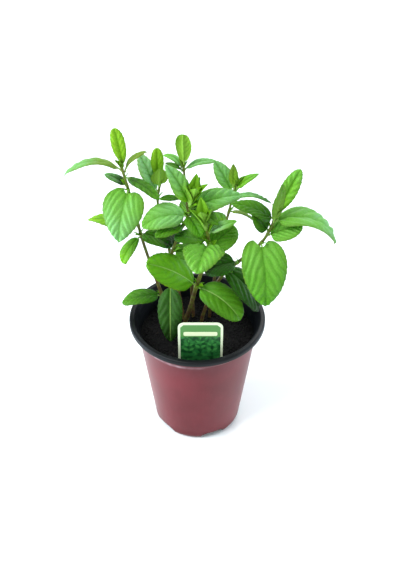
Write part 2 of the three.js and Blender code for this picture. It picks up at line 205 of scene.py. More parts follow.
class Tree(Nodes):
    """A Geometry Nodes tree from a mesh to a mesh. Each named size has a default value, or only a kind."""

    def __init__(self, name, **sizes):
        super().__init__(bpy.data.node_groups.new(name, "GeometryNodeTree"))
        face = self.tree.interface
        face.new_socket("Geometry", in_out="INPUT", socket_type="NodeSocketGeometry")
        for label, value in sizes.items():
            kind = value if isinstance(value, type) else type(value)
            face.new_socket(label, in_out="INPUT", socket_type=KINDS[kind])
            if kind is not value:
                face.items_tree[label].default_value = value
        face.new_socket("Geometry", in_out="OUTPUT", socket_type="NodeSocketGeometry")
        self.given = self.node("NodeGroupInput").outputs
        self.end = self.node("NodeGroupOutput").inputs["Geometry"]

    def size(self, label):
        return self.value(self.given[label])

    def named(self, label, data_type="FLOAT"):
        return self.field("GeometryNodeInputNamedAttribute", {"Name": label}, data_type=data_type)

    def store(self, geometry, label, value, domain="POINT"):
        inputs = {"Geometry": geometry, "Name": label, "Value": value}
        return self.out("GeometryNodeStoreNamedAttribute", inputs, data_type="FLOAT", domain=domain)

    def joined(self, *parts):
        """Several geometries as one."""
        node = self.node("GeometryNodeJoinGeometry")
        for part in parts:
            plug(self.tree, node.inputs[0], part)
        return node.outputs[0]

    def scaled(self, vector, share):
        return self.out("ShaderNodeVectorMath", {0: vector, 3: share}, operation="SCALE")

    def moved(self, geometry, *offsets):
        """The geometry with each of its points moved by the sum of some vectors."""
        total = offsets[0]
        for offset in offsets[1:]:
            total = self.out("ShaderNodeVectorMath", {0: total, 1: offset}, operation="ADD")
        return self.out("GeometryNodeSetPosition", {"Geometry": geometry, "Offset": total})

    def finish(self, geometry, lining=None):
        """Ends the tree: instances become real and get their material, and a lining gets one of its own."""
        real = self.out("GeometryNodeRealizeInstances", {"Geometry": geometry})
        done = self.out("GeometryNodeSetMaterial", {"Geometry": real, "Material": self.given["Material"]})
        if lining:
            inputs = {"Geometry": done, "Selection": lining, "Material": self.given["Lining"]}
            done = self.out("GeometryNodeSetMaterial", inputs)
        plug(self.tree, self.end, done)
        return self.tree


# %% Running a tree
def run(tree, piece, **sizes):
    """Runs a tree on a piece, with these sizes, and keeps the mesh that comes out."""
    modifier = piece.modifiers.new("nodes", "NODES")
    modifier.node_group = tree
    for label, value in sizes.items():
        modifier[tree.interface.items_tree[label].identifier] = value
    view = bpy.context.evaluated_depsgraph_get()
    result = piece.evaluated_get(view)
    made = bpy.data.meshes.new_from_object(result, preserve_all_data_layers=True, depsgraph=view)
    piece.modifiers.clear()
    blank, piece.data = piece.data, made
    made.name = piece.name
    while made.materials and made.materials[0] is None:  # the blank's empty slot
        made.materials.pop(index=0)
    bpy.data.meshes.remove(blank)
    return piece


# %% Making, smoothing and keeping a piece
def piece_from(name, corners, faces, floats=None, vectors=None, edges=()):
    """A new object made of corners in metres, with values that belong to each corner."""
    mesh = bpy.data.meshes.new(name)
    mesh.from_pydata(np.asarray(corners).tolist(), list(edges), faces)
    for label, values in (floats or {}).items():
        mesh.attributes.new(label, "FLOAT", "POINT").data.foreach_set("value", np.asarray(values, np.float32))
    for label, values in (vectors or {}).items():
        flat = np.asarray(values, np.float32).ravel()
        mesh.attributes.new(label, "FLOAT_VECTOR", "POINT").data.foreach_set("vector", flat)
    piece = bpy.data.objects.new(name, mesh)
    scene.collection.objects.link(piece)
    return piece


def loft_faces(rings, sides):
    """The faces between rings of corners, closed by one more corner at the foot and one at the tip."""
    at = np.arange(rings * sides).reshape(rings, sides)
    turned = np.roll(at, -1, axis=1)
    walls = np.stack([at[:-1], turned[:-1], turned[1:], at[1:]], axis=-1).reshape(-1, 4).tolist()
    foot, tip = rings * sides, rings * sides + 1
    caps = [(foot, b, a) for a, b in zip(at[0].tolist(), turned[0].tolist())]
    return walls + caps + [(tip, a, b) for a, b in zip(at[-1].tolist(), turned[-1].tolist())]


def smooth(piece, sharp=50):
    """Shades a piece smoothly, apart from edges that turn by more than so many degrees."""
    piece.data.shade_smooth()
    piece.data.set_sharp_from_angle(angle=math.radians(sharp))
    return piece


def keep(piece, slot, *nodes):
    """Fixes a finished piece to the plant's one body, in place of CAD nodes, which it hides. The slot is not
    used.
    """
    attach(piece, "root")
    if nodes:
        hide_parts(*nodes)
    return piece


# %% [markdown]
# ## Finishes
# Each finish is one Principled shader. Colours are written as they look on a screen, from 0 to 255, and
# turned into the linear values that light is reckoned in.


# %% Colours and shaders
def paint(red, green, blue):
    """A screen colour as linear light."""
    shares = [channel / 255 for channel in (red, green, blue)]
    return (*(s / 12.92 if s < 0.04045 else ((s + 0.055) / 1.055) ** 2.4 for s in shares), 1)


class Finish(Nodes):
    """A material with one Principled shader, and short ways to the nodes that colour it."""

    def __init__(self, name, **sockets):
        self.material = bpy.data.materials.new(name)
        self.material.use_nodes = True
        super().__init__(self.material.node_tree)
        self.shader = self.tree.nodes["Principled BSDF"]
        self.place = self.node("ShaderNodeTexCoord").outputs["Object"]
        for label, value in sockets.items():
            self.set(label.replace("_", " "), value)

    def set(self, label, value):
        plug(self.tree, self.shader.inputs[label], value)

    def named(self, label):
        node = self.node("ShaderNodeAttribute", attribute_name=label)
        return self.value(node.outputs["Fac"])

    def axis(self, letter):
        parts = self.node("ShaderNodeSeparateXYZ", {0: self.place})
        return self.value(parts.outputs[letter])

    def noise(self, scale, detail, vector=None):
        inputs = {"Vector": vector or self.place, "Scale": scale, "Detail": detail}
        return self.field("ShaderNodeTexNoise", inputs)

    def cells(self, scale, feature):
        return self.field("ShaderNodeTexVoronoi", {"Vector": self.place, "Scale": scale}, feature=feature)

    def mix(self, share, first, second, blend="MIX"):
        node = self.node("ShaderNodeMix", data_type="RGBA", blend_type=blend)
        for socket, value in zip((node.inputs[0], node.inputs[6], node.inputs[7]), (share, first, second)):
            plug(self.tree, socket, value)
        return node.outputs[2]

    def tinted(self, share, colour, tint):
        """A colour that is multiplied by a tint, as far as the share says."""
        return self.mix(share, colour, self.mix(1.0, colour, tint, "MULTIPLY"))

    def bump(self, height, distance, strength):
        inputs = {"Height": height, "Distance": distance, "Strength": strength}
        self.set("Normal", self.out("ShaderNodeBump", inputs))


# %% [markdown]
# ## Leaves: how they are coloured
# A mint leaf's face is sunk along its midrib and its side veins, and the shade that falls in those
# hollows is painted in as a darker green. The margin is darker too, partly its own colour and partly
# painted shade where it rolls down. A painted sheen makes the swellings in the middle of each half
# lightest and a little bluish, where its fine hairs catch the light. The back of the blade is paler than
# its face, and young leaves are yellow-green. Every leaf could have a painted picture of its own, but rules
# that read where a point lies on the blade colour them all, and stay sharp in a close view. Leaves differ
# along their length too, so a finish takes one green for the stalk end and one for the tip.

# %% Greens and tints
# The "shade" green is painted shade, for leaves that lie in the shade of others.
GREENS = {
    "young": (128, 176, 34),
    "bright": (110, 166, 26),
    "light": (108, 168, 58),
    "teal": (120, 175, 102),
    "sprout": (100, 150, 20),
    "fresh": (94, 154, 22),
    "grass": (82, 146, 26),
    "mid": (78, 132, 24),
    "dark": (48, 94, 18),
    "shade": (22, 50, 9),
    "fern": (76, 136, 18),
    "blue": (52, 98, 28),
    "mist": (150, 200, 134),
    "olive": (116, 142, 54),
}
PALE_RIBBED = {"fresh", "fern", "blue"}
# The greens whose leaves get the full painted sheen.
SHEEN_GREENS = {"light", "teal", "mist"}
BACK_OF_LEAF = paint(138, 176, 80)
MIDRIB = paint(150, 190, 100)
# Painted shade for the vein hollows and the groove over the midrib.
HOLLOW_SHADE_TINT = (0.56, 0.68, 0.4, 1)
# Painted sheen for the swellings of the blade.
SHEEN_TINT = (1.16, 1.12, 1.45, 1)
# Darker margin: partly the leaf's own colour, partly painted shade where it rolls down.
MARGIN_AND_SHADE_TINT = (0.72, 0.74, 0.42, 1)
RIM_TINT = (0.5, 0.44, 0.34, 1)
LIGHT_REACH = (0.4, 1.0, 0.15)
print("greens:", ", ".join(GREENS))

# %% Leaf finishes
leaf_finishes = {}


def leaf_finish(stalk_end, tip):
    """The finish of a leaf that goes from one green to another, made once for each pair."""
    if (stalk_end, tip) in leaf_finishes:
        return leaf_finishes[stalk_end, tip]
    finish = Finish(
        f"leaf_{stalk_end}_to_{tip}", Subsurface_Weight=0.1, Subsurface_Scale=0.002, Specular_IOR_Level=0.14,
        Subsurface_Radius=LIGHT_REACH,
    )
    near, far = paint(*GREENS[stalk_end]), paint(*GREENS[tip])
    blade, face, part = (finish.named(label) for label in ("blade", "face", "margin"))
    aside, edge = finish.named("aside").size(), finish.named("across").size()
    between = finish.named("vein_phase").fraction()
    patches, mottle = finish.noise(75, 3.0), finish.noise(420, 4.0)
    meshes, fine_meshes = (finish.cells(scale, "DISTANCE_TO_EDGE") for scale in (430, 900))

    body = finish.mix((part + patches * 0.5 - 0.15).ramp(0.3, 0.9), near, far)
    # Painted sheen: the swellings in the middle of each half turn lighter and bluish.
    sheen = 1.0 if {stalk_end, tip} & SHEEN_GREENS else 0.35
    body = finish.tinted((edge - 0.5).bell(0.33) * (patches * 0.8 + 0.3) * sheen, body, SHEEN_TINT)
    # Darker along the margin, partly the leaf's own colour and partly painted shade where it rolls down, and
    # darker at the base of the blade.
    body = finish.tinted((edge**4 + (1 - part.ramp(0.0, 0.22)) * 0.7) * 0.75, body, MARGIN_AND_SHADE_TINT)
    body = finish.tinted(edge**9 * 0.7, body, RIM_TINT)
    # Painted shade: a darker copy of the green for the vein hollows, the midrib groove and the fine vein
    # network; the mottle adds random tone.
    vein_shade = finish.mix(1.0, body, HOLLOW_SHADE_TINT, "MULTIPLY")
    swelling = (4 * between * (1 - between)) ** 0.6
    tone = (swelling * 0.5 + mottle * 0.8 - aside.bell(0.7) * 0.45).ramp(0.05, 0.95)
    body = finish.mix(tone, vein_shade, body)
    body = finish.mix((1 - meshes.ramp(0.0, 0.3)) * 0.3, body, vein_shade)
    body = finish.mix((1 - fine_meshes.ramp(0.0, 0.25)) * 0.2, body, vein_shade)
    if stalk_end in PALE_RIBBED:
        body = finish.mix(aside.bell(0.5) * (1 - part.ramp(0.45, 1.0)) * 0.75, body, MIDRIB)
    body = finish.mix(blade, finish.mix(0.5, MIDRIB, near), body)
    finish.set("Base Color", finish.mix((-face).above(0.5), body, finish.mix(0.3, body, BACK_OF_LEAF)))
    finish.set("Roughness", mottle * 0.2 + 0.4)
    pimples, grit = finish.cells(900, "SMOOTH_F1"), finish.noise(1800, 2.0)
    finish.bump(meshes.ramp(0.0, 0.5) * 0.5 - pimples * 0.5 + grit * 0.25, 0.0004, 0.5)
    leaf_finishes[stalk_end, tip] = finish.material
    return finish.material


# %% [markdown]
# ## Leaves: read back from the CAD
# A CAD leaf is a loft: a point at the foot of its stalk, nine rings of six corners, and a point at its tip.
# Walking outwards from one end, edge by edge, finds those rings again, and with them the line of the
# midrib, which way the blade faces and how wide it is. The leaves here then lie exactly where the CAD
# leaves do.

# %% Rings of a loft
STATIONS = np.array([0, 0.02, 0.08, 0.15, 0.25, 0.38, 0.52, 0.67, 0.81, 0.92, 1])
STALK = 0.05
STALK_RADIUS = 0.8


def steps_from(first):
    """How many edges away from one corner each corner is, and the corner that is farthest away."""
    steps, reached = {first: 0}, [first]
    for corner in reached:
        for edge in corner.link_edges:
            other = edge.other_vert(corner)
            if other not in steps:
                steps[other] = steps[corner] + 1
                reached.append(other)
    return steps, reached[-1]


def rings_of(node):
    """A lofted CAD node as one joined mesh, and its corners sorted into rings from one end to the other."""
    solid = bmesh.new()
    solid.from_mesh(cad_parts[node].data)
    bmesh.ops.remove_doubles(solid, verts=solid.verts, dist=1e-6)
    solid.verts.ensure_lookup_table()
    end = solid.verts[0]
    for _ in range(3):
        steps, end = steps_from(end)
    rings = [[] for _ in range(max(steps.values()) + 1)]
    for corner, step in steps.items():
        rings[step].append(corner)
    return solid, rings


def place(corner):
    """Where a corner is, in mm."""
    return np.array(corner.co) / MM


def centre(ring):
    return np.mean([place(corner) for corner in ring], axis=0)


def ring_neighbours(corner, ring):
    return [edge.other_vert(corner) for edge in corner.link_edges if edge.other_vert(corner) in ring]


# %% Midrib, width and fold of a leaf
TOP_SHARE = 0.7
FOLD_RING = 4


def unit(vectors):
    return vectors / np.linalg.norm(vectors, axis=-1, keepdims=True)


def leaf_net(node):
    """The midrib, the direction to the right, the outline, the fold and the length of a CAD leaf."""
    solid, rings = rings_of(node)
    first_gap, last_gap = centre(rings[1]) - centre(rings[0]), centre(rings[-2]) - centre(rings[-1])
    if np.linalg.norm(first_gap) > np.linalg.norm(last_gap):
        rings.reverse()
    rib, right, half, fold = [centre(rings[0])], [], [], 0
    for number, ring in enumerate(rings[1:-1]):
        pairs = {corner: ring_neighbours(corner, ring) for corner in ring}
        keel = max(pairs, key=lambda c: (pairs[c][0].co - pairs[c][1].co).length)
        edges = pairs[keel]
        top = next(c for c in ring if c not in (keel, *edges) and not set(pairs[c]) & set(edges))
        middle = TOP_SHARE * place(top) + (1 - TOP_SHARE) * place(keel)
        onward = centre(rings[number + 2]) - middle
        to_right = np.cross(onward, place(top) - place(keel))
        left_edge, right_edge = sorted((place(edge) for edge in edges), key=lambda p: (p - middle) @ to_right)
        rib.append(middle)
        right.append(unit(right_edge - left_edge))
        half.append(np.linalg.norm(right_edge - left_edge) / 2)
        if number == FOLD_RING:
            up = unit(place(top) - place(keel))
            fold = math.atan2(((left_edge + right_edge) / 2 - middle) @ up, half[-1])
    rib.append(centre(rings[-1]))
    solid.free()
    inner = (STATIONS[2:-1] - STALK) / (1 - STALK)
    rules = np.stack([np.ones_like(inner), np.log(inner), np.log(1 - inner)], axis=1)
    scale, foot, tip = np.linalg.lstsq(rules, np.log(half[1:]), rcond=None)[0]
    length = np.linalg.norm(np.diff(rib, axis=0), axis=1).sum()
    return {
        "rib": np.array(rib),
        "right": np.array([right[0], *right, right[-1]]),
        "outline": lambda part: math.exp(scale) * part**foot * (1 - part) ** tip,
        "fold": fold,
        "length": length,
    }


# %% [markdown]
# ## Leaves: the blank
# The blank is a loft again, but with many more rings. On the stalk a ring is round. On the blade it is a
# thin lens that is folded along the midrib, crowned on both halves, hollow over the midrib on its face and
# ridged along it on its back. Rings crowd together at both ends of the blade, and each tooth of the margin
# gets the same number of them.


# %% Smooth curves through known points
def spline(knots, values, places):
    """Values at some places on a smooth curve through the knots."""
    knots, values = np.asarray(knots, float), np.asarray(values, float)
    slopes = np.gradient(values, knots, axis=0)
    left = np.clip(np.searchsorted(knots, places) - 1, 0, len(knots) - 2)
    gap = (knots[left + 1] - knots[left]).reshape(-1, *[1] * (values.ndim - 1))
    t = (np.asarray(places) - knots[left]).reshape(gap.shape) / gap
    rise = values[left] * (2 * t**3 - 3 * t**2 + 1) + values[left + 1] * (3 * t**2 - 2 * t**3)
    return rise + gap * (slopes[left] * (t**3 - 2 * t**2 + t) + slopes[left + 1] * (t**3 - t**2))


# %% Where the rings of a leaf lie
TOOTH_ROWS = 7
TOOTH_SPACING = 3.2
STALK_ROWS = 4
CROWDING = 0.13
TIP_RADIUS = 0.15
ROOT = 1.3
FINE_STEPS = 400


def smoothstep(share):
    share = np.clip(share, 0, 1)
    return share**2 * (3 - 2 * share)


def leaf_rows(outline, count):
    """Where each ring lies along the margin, the blade and the leaf, its half width, and if it narrows."""
    margin = np.arange(count) / count
    part = margin - CROWDING * np.sin(2 * np.pi * margin)
    stalk = np.linspace(0, STALK, STALK_ROWS + 1)[:-1]
    along = np.concatenate([stalk, STALK + (1 - STALK) * part])
    margin, part = (np.concatenate([np.zeros(STALK_ROWS), row]) for row in (margin, part))
    half = outline(part)
    past_widest = part > part[half.argmax()]
    half = np.maximum(half, np.where(past_widest, TIP_RADIUS, STALK_RADIUS))
    return margin, part, along, half, past_widest


def leaf_directions(net, along):
    """The midrib at each ring, and the directions to the right, up from the face and to the tip."""
    rib = spline(STATIONS, net["rib"], along)
    forward = unit(np.gradient(spline(STATIONS, net["rib"], np.linspace(0, 1, FINE_STEPS)), axis=0))
    forward = forward[np.round(along * (FINE_STEPS - 1)).astype(int)]
    right = spline(STATIONS, net["right"], along)
    right = unit(right - (right * forward).sum(1, keepdims=True) * forward)
    rib[0] -= forward[0] * ROOT
    return rib, right, np.cross(right, forward), forward


# %% The section of a leaf
BLADE_THICKNESS = 0.45
CROWN = 0.8
GROOVE, GROOVE_WIDTH = 0.4, 1.1
RIDGE, RIDGE_WIDTH = 0.85, 0.9
EDGE_CROWDING = 1.15


def leaf_corners(columns):
    """How far across the blade each corner of a ring lies, and which side of the blade it is on."""
    even = np.linspace(-1, 1, columns + 1)
    row = np.sign(even) * np.abs(even) ** EDGE_CROWDING
    across = np.concatenate([row, row[-2:0:-1]])
    face = np.concatenate([[0], np.ones(columns - 1), [0], -np.ones(columns - 1)])
    return across, face


def leaf_heights(fold, part, half, share, across, face):
    """How far above the midrib each corner lies, ring by ring."""
    aside, lens, left = half[:, None] * across, np.sqrt(1 - across**2), (1 - part)[:, None]
    crowned = CROWN * np.sin(np.pi * np.abs(across)) * np.minimum(1, half / 8)[:, None] * share
    sheet = np.abs(aside) * math.sin(fold) * share + crowned
    thick = (1 - share) * STALK_RADIUS * lens + share * BLADE_THICKNESS / 2 * lens
    groove = share * GROOVE * left**0.5 * np.exp(-((aside / GROOVE_WIDTH) ** 2))
    ridge = share * RIDGE * STALK_RADIUS * left**0.7 * np.exp(-((aside / RIDGE_WIDTH) ** 2))
    height = sheet + np.where(face >= 0, thick * 0.8 - groove, -thick - ridge)
    return np.where(face == 0, sheet, height)


# %% The blank of a leaf
COLUMNS, FEW_COLUMNS, MANY_COLUMNS = 28, 20, 44
SHORT_LEAF = 30
WHOLE_BLADE = 3.5
LOBE_CURVE, LOBE_PEAK = 1.4, 0.42


def leaf_blank(name, net, lobes=(0, 0), teeth=None, tooth_rows=TOOTH_ROWS, columns=None):
    """The closed loft of one leaf, with what the relief and the colour need to know at each corner.

    The lobes say how far, in mm, the left and the right half of the blade run back past the stalk.
    """
    length = net["length"]
    teeth = teeth or max(5, round(length / TOOTH_SPACING))
    columns = columns or (MANY_COLUMNS if max(lobes) else FEW_COLUMNS if length < SHORT_LEAF else COLUMNS)
    margin, part, along, half, past_widest = leaf_rows(net["outline"], teeth * tooth_rows)
    rib, right, up, forward = leaf_directions(net, along)
    across, face = leaf_corners(columns)

    wider = half - STALK_RADIUS
    share = smoothstep(np.maximum.accumulate(wider / min(WHOLE_BLADE, 0.6 * half.max())))[:, None]
    height = leaf_heights(net["fold"], part, half, share, across, face)
    spread_out = np.clip(wider / (half.max() - STALK_RADIUS), 0, 1)
    drawn = spread_out**0.5 * (1 - spread_out) ** 0.8 / LOBE_PEAK * ~past_widest
    back = np.where(across < 0, *lobes) * drawn[:, None] * np.abs(across) ** LOBE_CURVE
    aside = half[:, None] * across
    corners = (
        rib[:, None]
        + right[:, None] * (aside * math.cos(net["fold"]))[..., None]
        + up[:, None] * height[..., None]
        - forward[:, None] * back[..., None]
    )
    rings, sides = corners.shape[:2]
    foot = rib[0] - forward[0] * 0.3
    corners = np.concatenate([corners.reshape(-1, 3), [foot, net["rib"][-1]]]) * MM

    def spread(values, at_foot=0.0, at_tip=0.0):
        return np.concatenate([np.broadcast_to(values, (rings, sides)).ravel(), [at_foot, at_tip]])

    def spread_vectors(rows, signs=1.0):
        full = rows[:, None] * (np.ones((rings, sides)) * signs)[..., None]
        return np.concatenate([full.reshape(-1, 3), rows[:1], rows[-1:]])

    floats = {
        "across": spread(across),
        "aside": spread(aside),
        "margin": spread(margin[:, None], 0, 1),
        "along": spread(along[:, None] * length, 0, length),
        "blade": spread(share, 0, 1),
        "face": spread(face),
    }
    vectors = {
        "up": spread_vectors(up),
        "outward": spread_vectors(right, np.sign(across)),
        "forward": spread_vectors(forward),
    }
    return piece_from(name, corners, loft_faces(rings, sides), floats, vectors), teeth


# %% [markdown]
# ## Leaves: teeth, veins and quilting
# The margin has small teeth that point towards the tip. The side veins leave the midrib in pairs and bend
# forwards, and the blade swells up between them and again between the finest veins, which is what makes
# mint look quilted. All of it follows from how far along and how far across the blade a point lies, so one
# tree makes it for every leaf. Sculpting would take fifty passes, and a bump alone would leave the margin
# and the shadows of the blade flat.


# %% The relief of a leaf
def make_leaf_relief():
    tree = Tree(
        "leaf relief", Teeth=12, Tooth_depth=0.5, Vein_spacing=6.0, Vein_slant=0.8, Quilt=0.7, Crinkle=0.25,
        Wave=0.5, Rolled=1.0, Seed=1.0, Material=bpy.types.Material,
    )
    across, aside, margin, along, blade, face = (
        tree.named(label) for label in ("across", "aside", "margin", "along", "blade", "face")
    )
    up, outward, forward = (tree.named(label, "FLOAT_VECTOR") for label in ("up", "outward", "forward"))
    size, seed = tree.size, tree.size("Seed")
    edge = across.size()

    spot = tree.out("ShaderNodeCombineXYZ", {0: aside * 0.36, 1: along * 0.36 + seed * 7.0, 2: seed})
    uneven = tree.field("ShaderNodeTexNoise", {"Vector": spot, "Scale": 0.14, "Detail": 1.0})
    run_out = aside.size() * size("Vein_slant") * (0.65 + edge * 0.6)
    phase = (along - run_out) / size("Vein_spacing") + across.above(0.0) * 0.35 + seed + uneven * 1.5
    between = phase.fraction()
    vein = (0.5 - (between - 0.5).size()).bell(0.15)
    swelling = 0.5 - (phase * math.tau).do("COSINE") * 0.5
    valley = 1 - aside.bell(1.7)
    to_margin = (1 - edge**6) * margin.ramp(0.0, 0.15) * (1 - margin.ramp(0.8, 1.0))

    dome = 0.7 - tree.field("ShaderNodeTexVoronoi", {"Vector": spot, "Scale": 1.0}, feature="SMOOTH_F1")
    quilt = size("Quilt") * swelling * valley * (uneven * 1.2 + 0.4) + size("Crinkle") * dome
    on_face = face.above(0.5) * vein * 0.15
    on_back = (-face).above(0.5) * vein * 0.2
    waves = (margin * 14.0 + seed * 5.0).do("SINE") * edge**2 * size("Wave")
    rolled = edge**3 * size("Rolled") * (uneven + 0.5)
    lift = blade * (to_margin * (quilt - on_face * valley - on_back) + waves - rolled)

    saw = (margin * size("Teeth")).fraction()
    bite = blade * edge**10 * size("Tooth_depth") * (1 - margin**6)
    shaped = tree.moved(
        tree.given["Geometry"],
        tree.scaled(up, lift * MM),
        tree.scaled(outward, (saw**1.3 - 0.5) * bite * MM),
        tree.scaled(forward, saw * bite * 0.7 * MM),
    )
    return tree.finish(tree.store(shaped, "vein_phase", phase))


leaf_relief = make_leaf_relief()
print("leaf relief:", len(leaf_relief.nodes), "nodes")

# %% [markdown]
# ## Leaves: one by one
# No two leaves are alike. Each row says which greens the leaf has at its stalk end and at its tip, how
# deeply it is quilted and how far its base runs back past the stalk in two lobes, as on the large hanging
# leaves.

# %% The leaves of each stem
LEAVES = {
    "left_stem": [
        ("young", "young", 0.35), ("olive", "teal", 0.4), ("olive", "olive", 0.3), ("shade", "teal", 0.4),
        ("light", "teal", 0.7, (4, 5)), ("mid", "young", 0.5), ("mid", "bright", 0.5), ("mid", "shade", 0.5),
        ("dark", "mid", 0.6), ("dark", "mid", 0.5),
    ],
    "back_left_stem": [
        ("young", "young", 0.35), ("young", "young", 0.4), ("mist", "mist", 0.5), ("mid", "dark", 0.4),
        ("shade", "shade", 0.6),
    ],
    "back_stem": [
        ("young", "young", 0.3), ("teal", "teal", 0.4), ("dark", "mid", 0.4), ("teal", "light", 0.4),
        ("mid", "mid", 0.7),
    ],
    "middle_stem": [
        ("young", "mid", 0.3), ("bright", "teal", 0.7), ("light", "teal", 1.2), ("dark", "mid", 0.6),
        ("teal", "light", 0.8), ("mid", "mid", 0.6), ("blue", "shade", 0.4), ("mid", "dark", 0.5),
        ("mid", "grass", 0.6),
    ],
    "back_right_stem": [
        ("young", "olive", 0.3), ("light", "teal", 0.6), ("bright", "light", 0.5), ("teal", "dark", 0.5),
        ("olive", "dark", 0.4), ("mid", "dark", 0.5),
    ],
    "right_stem": [
        ("bright", "light", 0.6), ("sprout", "mid", 0.4), ("dark", "mid", 0.8), ("light", "teal", 0.8),
        ("light", "light", 1.1), ("dark", "mid", 0.5), ("light", "grass", 0.8, (6, 8.5)),
        ("dark", "shade", 0.6), ("dark", "shade", 0.5, (5, 5)),
    ],
    "front_stem": [
        ("light", "light", 1.2), ("mid", "mid", 0.7), ("mid", "dark", 0.6), ("mist", "light", 0.4),
        ("fresh", "fresh", 0.35), ("fern", "mid", 0.3),
    ],
}
print("leaves:", sum(map(len, LEAVES.values())), "on", len(LEAVES), "stems")

# %% Making the leaves
FULL_LENGTH = 45
LOBED = {"veins": 4.6, "slant": 1.6, "rolled": 2.4}
PLAIN = {"veins": 5.5, "slant": 1.25, "rolled": 1.2}
stalks = {}
triangles = 0

for stem, rows in LEAVES.items():
    stalks[stem] = []
    for number, (stalk_end, tip, quilt, *lobes) in enumerate(rows, start=1):
        node = f"{stem}_leaf_{number}"
        net = leaf_net(node)
        leaf, teeth = leaf_blank(node + "_blade", net, *lobes)
        grown = min(1, net["length"] / FULL_LENGTH)
        kind = LOBED if lobes else PLAIN
        run(
            leaf_relief, leaf, Teeth=teeth, Tooth_depth=0.6 * grown, Quilt=1.7 * quilt * grown,
            Vein_spacing=net["length"] / kind["veins"], Vein_slant=kind["slant"], Crinkle=0.5 * quilt,
            Wave=0.6 * grown, Rolled=kind["rolled"] * (1 if lobes else grown), Seed=number * 1.37 + len(stem),
            Material=leaf_finish(stalk_end, tip),
        )
        keep(smooth(leaf), "young_leaf" if number == 1 else "leaf", node)
        stalks[stem].append(net["rib"][:3])
        triangles += sum(len(face.vertices) - 2 for face in leaf.data.polygons)
print("leaf triangles:", triangles, "finishes:", len(leaf_finishes))

# %% [markdown]
# ## Stems
# Mint stems are square, a little hollow on each side, thickened where a pair of leaves joins, purplish
# brown low down and green at the tip. Each could be drawn by hand as a curve, but the leaves join the CAD
# stems, so the line of each stem is read back from the CAD, and a tree sweeps a grooved profile along it.


# %% The line of a stem
STEM_STEP = 1.5
STEM_SLIMMING = 0.92
JOINT_LENGTH, JOINT_SWELLING = 2.2, 0.3


def stem_line(node):
    """Points along a CAD stem in mm, how far along it they are, and the stem's half width there."""
    solid, rings = rings_of(node)
    if centre(rings[0])[2] > centre(rings[-1])[2]:
        rings.reverse()
    points = np.array([centre(ring) for ring in rings])
    reach = [np.linalg.norm(place(ring[0]) - centre(ring)) for ring in rings[1:-1]]
    solid.free()
    run_length = np.concatenate([[0], np.linalg.norm(np.diff(points, axis=0), axis=1).cumsum()])
    stations = np.arange(0, run_length[-1], STEM_STEP)
    half_width = np.interp(stations, run_length, [reach[0], *reach, reach[-1]])
    return spline(run_length, points, stations), stations, half_width * STEM_SLIMMING


def nearest(line, point):
    """The number of the point of a line that is nearest to another point."""
    return int(np.linalg.norm(line - point, axis=1).argmin())


# %% The sweep
def make_stem_sweep():
    tree = Tree("stem sweep", Groove=0.1, Unevenness=0.15, Seed=1.0, Material=bpy.types.Material)
    curve = tree.out("GeometryNodeMeshToCurve", {"Mesh": tree.given["Geometry"]})
    ring = tree.out("GeometryNodeCurvePrimitiveCircle", {"Resolution": 28, "Radius": 1.0})
    spot = tree.out("GeometryNodeInputPosition")
    parts = tree.node("ShaderNodeSeparateXYZ", {0: spot})
    turn = tree.value(parts.outputs["Y"]).do("ARCTAN2", parts.outputs["X"])
    square = (turn * 4.0).do("COSINE") * -1.0 * tree.size("Groove")
    profile = tree.moved(ring, tree.scaled(spot, square))
    inputs = {"Curve": curve, "Profile Curve": profile, "Scale": tree.named("half_width"), "Fill Caps": True}
    skin = tree.out("GeometryNodeCurveToMesh", inputs)
    inputs = {"W": tree.size("Seed"), "Scale": 160.0}
    noise = tree.field("ShaderNodeTexNoise", inputs, noise_dimensions="4D")
    normal = tree.out("GeometryNodeInputNormal")
    rough = (noise - 0.5) * tree.size("Unevenness") * MM
    return tree.finish(tree.moved(skin, tree.scaled(normal, rough)))


stem_sweep = make_stem_sweep()
print("stem sweep:", len(stem_sweep.nodes), "nodes")


# %% Stem finish
def make_stem_skin():
    finish = Finish(
        "stem_skin", Roughness=0.5, Specular_IOR_Level=0.2, Subsurface_Weight=0.05, Subsurface_Scale=0.001,
    )
    part, joint = finish.named("part"), finish.named("joint")
    grain = finish.noise(240, 4.0)
    speckle = grain.ramp(0.3, 0.7)
    low = finish.mix(speckle, paint(90, 60, 46), paint(98, 90, 46))
    high = finish.mix(speckle, paint(92, 88, 40), paint(98, 126, 40))
    body = finish.mix((part + (grain - 0.5) * 0.5).ramp(0.05, 0.95), low, high)
    finish.set("Base Color", finish.mix(joint * 0.6, body, paint(98, 124, 36)))
    finish.bump(finish.noise(1500, 3.0), 0.0003, 0.4)
    return finish.material


stem_skin = make_stem_skin()
print("finish:", stem_skin.name)

# %% The seven stems
stem_lines = {}
for number, (stem, nodes) in enumerate(stalks.items()):
    line, stations, half_width = stem_line(stem)
    joints = np.zeros(len(line))
    for stalk in nodes:
        off_joint = stations - stations[nearest(line, stalk[0])]
        joints = np.maximum(joints, np.exp(-((off_joint / JOINT_LENGTH) ** 2)))
    floats = {
        "half_width": half_width * (1 + JOINT_SWELLING * joints) * MM,
        "part": stations / stations[-1],
        "joint": joints,
    }
    edges = [(i, i + 1) for i in range(len(line) - 1)]
    piece = piece_from(stem + "_skin", line * MM, [], floats, edges=edges)
    run(stem_sweep, piece, Seed=float(number), Material=stem_skin)
    keep(smooth(piece), "stem", stem)
    stem_lines[stem] = line

# %% [markdown]
# ## Buds
# In the axil of each leaf sits a pair of leaflets, and each shoot ends in a few that are still folded
# upwards. One small leaflet is made with the same blank as the leaves, and a tree places copies of it: each
# copy is turned so that its length follows one direction and its face another.


# %% The leaflet
LEAFLET_LENGTH = 10


